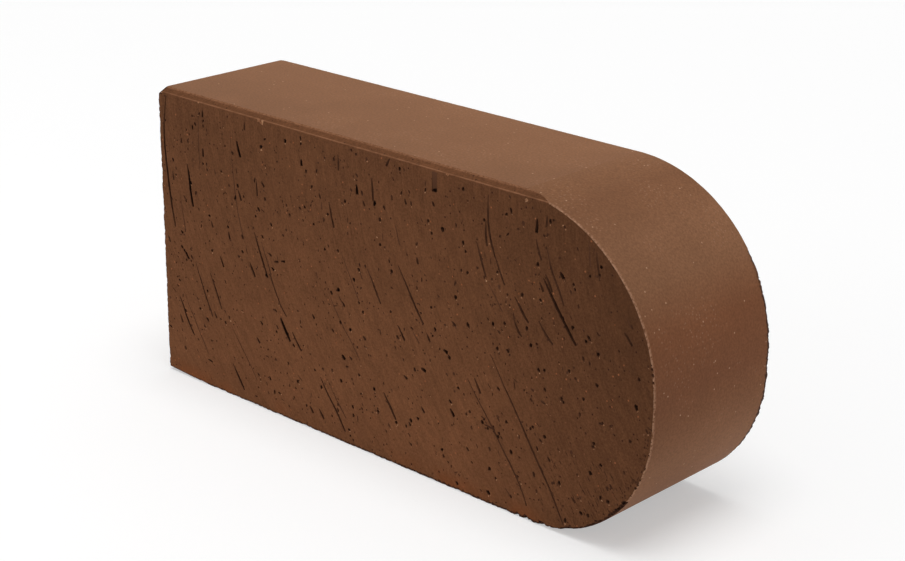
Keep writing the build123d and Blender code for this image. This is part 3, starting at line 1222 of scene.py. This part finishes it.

# %% [markdown]
# A pale dotted line along the front rim is a painted highlight. At the back the wire tore the skin's edge,
# and a dark ragged strip along it is painted shade, wider low down.

# %% The painted highlight on the front rim, and painted shade on the torn back rim
# painted highlight: a pale dotted line along the front arris
at_arris = ramp(tree, axes.outputs["Y"], (low.y / MM + 1.1, low.y / MM + 0.3), (0, 0.9))
worn = ramp(tree, grain.outputs[0], (0.35, 0.6))
painted_highlight = times(tree, at_arris, worn)
highlighted_skin = mixed(tree, painted_highlight, speckled, linear("#B0866A"))
# painted shade: a dark ragged strip along the back rim, wider low down
lower = ramp(tree, axes.outputs["Z"], (75.0, 25.0), (0, 0.5))
wider = add(tree, "ShaderNodeMath", {"operation": "ADD"}, {0: axes.outputs["Y"], 1: lower})
shaded_lip = ragged_lip(tree, mm, wider.outputs[0], high.y / MM - 1.8, high.y / MM - 1.4)
low_down = ramp(tree, axes.outputs["Z"], (98.0, 80.0), (0, 0.85))
shaded_lip = times(tree, shaded_lip, low_down)
with_shaded_lip = mixed(tree, shaded_lip, highlighted_skin, linear("#33201A"))

# %% [markdown]
# The skin is nearly smooth, so its bump is slight, and at a grazing angle it has a weak gloss.

# %% The skin's surface
skin_relief = 0.02 * MM
bump = add(tree, "ShaderNodeBump", {"Strength": 1.0, "Distance": skin_relief}, {"Height": grain.outputs[0]})
body = add(tree, "ShaderNodeBsdfPrincipled", {"Roughness": 0.6, "Specular IOR Level": 0.05},
           {"Base Color": with_shaded_lip, "Normal": bump.outputs[0]})
add(tree, "ShaderNodeOutputMaterial", {}, {"Surface": body.outputs[0]})
print(skin_clay.name, len(tree.nodes), "nodes")

# %% [markdown]
# ### Crumbled clay
# The broken rims show the dark inside of the clay, which the wire tore open grain by grain. It is nearly
# black in the hollows, and a few grains of the body's colour stand in it.

# %% Crumbled clay
crumb_size = 1.2        # mm. The real crumbs are mostly finer, and are drawn coarser.
tree, mm = start(crumbled_clay)
grains = add(tree, "ShaderNodeTexNoise", {"Scale": 1 / crumb_size, "Detail": 2.0}, {"Vector": mm})
grain_share = ramp(tree, grains.outputs[0], (0.4, 0.65))
broken = mixed(tree, grain_share, linear("#2A1914"), linear("#5E3D2C"))
body = add(tree, "ShaderNodeBsdfPrincipled", {"Roughness": 0.95, "Specular IOR Level": 0.02},
           {"Base Color": broken})
add(tree, "ShaderNodeOutputMaterial", {}, {"Surface": body.outputs[0]})
print(crumbled_clay.name, len(tree.nodes), "nodes")

# %% [markdown]
# ### Torn clay
# The inside of the furrows and pits. Its colour is painted shade: it darkens with depth until the bottoms
# are nearly black, as the hollows' shade. The attribute with the depth under the surface drives that, and
# the painted shade is stronger towards the square end and weaker towards the nose.

# %% Torn clay
darkest_from = 0.6      # mm under the surface
tree, mm = start(shaded_torn_clay)
sunk_here = add(tree, "ShaderNodeAttribute", {"attribute_name": "sunk_mm"})
# painted shade that deepens with depth, and is stronger towards the square end
painted_depth_shade = ramp(tree, sunk_here.outputs["Fac"], (0.0, darkest_from))
axes = add(tree, "ShaderNodeSeparateXYZ", {}, {0: mm})
by_end = ramp(tree, axes.outputs["X"], (-100.0, 60.0), (1.5, 0.85))
painted_depth_shade = add(tree, "ShaderNodeMath", {"operation": "MULTIPLY", "use_clamp": True},
               {0: painted_depth_shade, 1: by_end})
torn = mixed(tree, painted_depth_shade.outputs[0], linear("#61402E"), linear("#190E09"))
body = add(tree, "ShaderNodeBsdfPrincipled", {"Roughness": 0.95, "Specular IOR Level": 0.02},
           {"Base Color": torn})
add(tree, "ShaderNodeOutputMaterial", {}, {"Surface": body.outputs[0]})
print(shaded_torn_clay.name, len(tree.nodes), "nodes")

# %% [markdown]
# ### Pale grit and painted highlights
# Crushed fired clay in the mix, lighter than the body. It shows where the wire tore it open. Its colour also paints
# the highlights below some pits.

# %% Pale grit
shade_size = 1.5        # mm
tree, mm = start(pale_grit_and_highlight)
shade = add(tree, "ShaderNodeTexNoise", {"Scale": 1 / shade_size, "Detail": 2.0}, {"Vector": mm})
shade_here = ramp(tree, shade.outputs[0], (0.35, 0.65))
grit_tone = mixed(tree, shade_here, linear("#8C5C3E"), linear("#BA8C69"))
body = add(tree, "ShaderNodeBsdfPrincipled", {"Roughness": 0.9, "Specular IOR Level": 0.04},
           {"Base Color": grit_tone})
add(tree, "ShaderNodeOutputMaterial", {}, {"Surface": body.outputs[0]})
print(pale_grit_and_highlight.name, len(tree.nodes), "nodes")

# %% [markdown]
# ## Floor and light
# A plain white sheet and a plain white sky, so that the clay shows its own colour. The camera, and
# anything that mirrors, sees both of them as white. The light that they throw on the brick is weaker.

# %% Floor
floor_mesh = bpy.data.meshes.new("floor")
sheet = bmesh.new()
bmesh.ops.create_grid(sheet, x_segments=1, y_segments=1, size=4.0)
bmesh.ops.translate(sheet, vec=(0, 0, low.z), verts=sheet.verts)
sheet.to_mesh(floor_mesh)
sheet.free()
floor = bpy.data.objects.new("floor", floor_mesh)
bpy.context.scene.collection.objects.link(floor)


def seen_directly(tree):
    """1 for a ray from the camera, a mirror or glass, and 0 for one that carries light."""
    path = add(tree, "ShaderNodeLightPath")
    gloss = add(tree, "ShaderNodeMath", {"operation": "MAXIMUM"},
                {0: path.outputs["Is Camera Ray"], 1: path.outputs["Is Glossy Ray"]})
    return add(tree, "ShaderNodeMath", {"operation": "MAXIMUM"},
               {0: gloss.outputs[0], 1: path.outputs["Is Transmission Ray"]}).outputs[0]


paper = bpy.data.materials.new("white_paper")
paper.use_nodes = True
tree = paper.node_tree
tree.nodes.clear()
seen = seen_directly(tree)
white = mixed(tree, seen, (0.95, 0.95, 0.95, 1), (0.62, 0.62, 0.62, 1))
matt = add(tree, "ShaderNodeBsdfDiffuse", {}, {"Color": white})
glow = add(tree, "ShaderNodeMath", {"operation": "MULTIPLY", 1: 0.44}, {0: seen})
lift = add(tree, "ShaderNodeEmission", {}, {"Strength": glow.outputs[0]})
both = add(tree, "ShaderNodeAddShader", {}, {0: matt.outputs[0], 1: lift.outputs[0]})
add(tree, "ShaderNodeOutputMaterial", {}, {"Surface": both.outputs[0]})
floor_mesh.materials.append(paper)

# %% [markdown]
# ### Sky and lamps
# The sky is brighter overhead than at the horizon, as in a white room. A wide sun does for a big softbox
# overhead, and a square lamp at the left front lifts the wire-cut face a little.

# %% Sky and lamps
world = bpy.data.worlds.new("studio")
bpy.context.scene.world = world
world.use_nodes = True
tree = world.node_tree
tree.nodes.clear()
seen = seen_directly(tree)
ray = add(tree, "ShaderNodeTexCoord")
ray_axes = add(tree, "ShaderNodeSeparateXYZ", {}, {0: ray.outputs["Generated"]})
dome = add(tree, "ShaderNodeMapRange", {"To Min": 0.04, "To Max": 0.48}, {"Value": ray_axes.outputs["Z"]})
sky = add(tree, "ShaderNodeMix", {"data_type": "FLOAT", 3: 1.0}, {0: seen, 2: dome.outputs[0]})
backdrop = add(tree, "ShaderNodeBackground", {"Color": (1, 1, 1, 1)}, {"Strength": sky.outputs[0]})
add(tree, "ShaderNodeOutputWorld", {}, {"Surface": backdrop.outputs[0]})

softbox = bpy.data.lights.new("softbox", "SUN")
softbox.energy = 0.535 * math.pi
softbox.angle = math.radians(40)
lamp = bpy.data.objects.new("softbox", softbox)
bpy.context.scene.collection.objects.link(lamp)
lamp.rotation_mode = "QUATERNION"
lamp.rotation_quaternion = Vector((0.1, -0.1, 1.0)).to_track_quat("Z", "Y")

fill = bpy.data.lights.new("fill", "AREA")
fill.shape = "SQUARE"
fill.size = 0.4
fill.energy = 0.74
fill_lamp = bpy.data.objects.new("fill", fill)
bpy.context.scene.collection.objects.link(fill_lamp)
fill_lamp.location = (-0.45, -0.55, 0.25)
fill_lamp.rotation_mode = "QUATERNION"
fill_lamp.rotation_quaternion = (fill_lamp.location - Vector((0, 0, 0.06))).to_track_quat("Z", "Y")

# %% [markdown]
# ## Camera
# A longish lens from the right and a little above, as a catalogue picture has it.

# %% Camera
azimuth = math.radians(43.074)
elevation = math.radians(20.226)
roll = math.radians(0.548)
target = Vector((0.00459, 0, 0.06391))
distance = 0.74706
away = Vector((math.sin(azimuth) * math.cos(elevation), -math.cos(azimuth) * math.cos(elevation),
               math.sin(elevation)))
lens = bpy.data.cameras.new("camera")
lens.sensor_width = 36
lens.lens = 79.63
camera = bpy.data.objects.new("camera", lens)
bpy.context.scene.collection.objects.link(camera)
camera.location = target + away * distance
camera.rotation_mode = "QUATERNION"
camera.rotation_quaternion = away.to_track_quat("Z", "Y") @ Matrix.Rotation(roll, 4, "Z").to_quaternion()
bpy.context.scene.camera = camera
bpy.context.scene.view_settings.view_transform = "Standard"
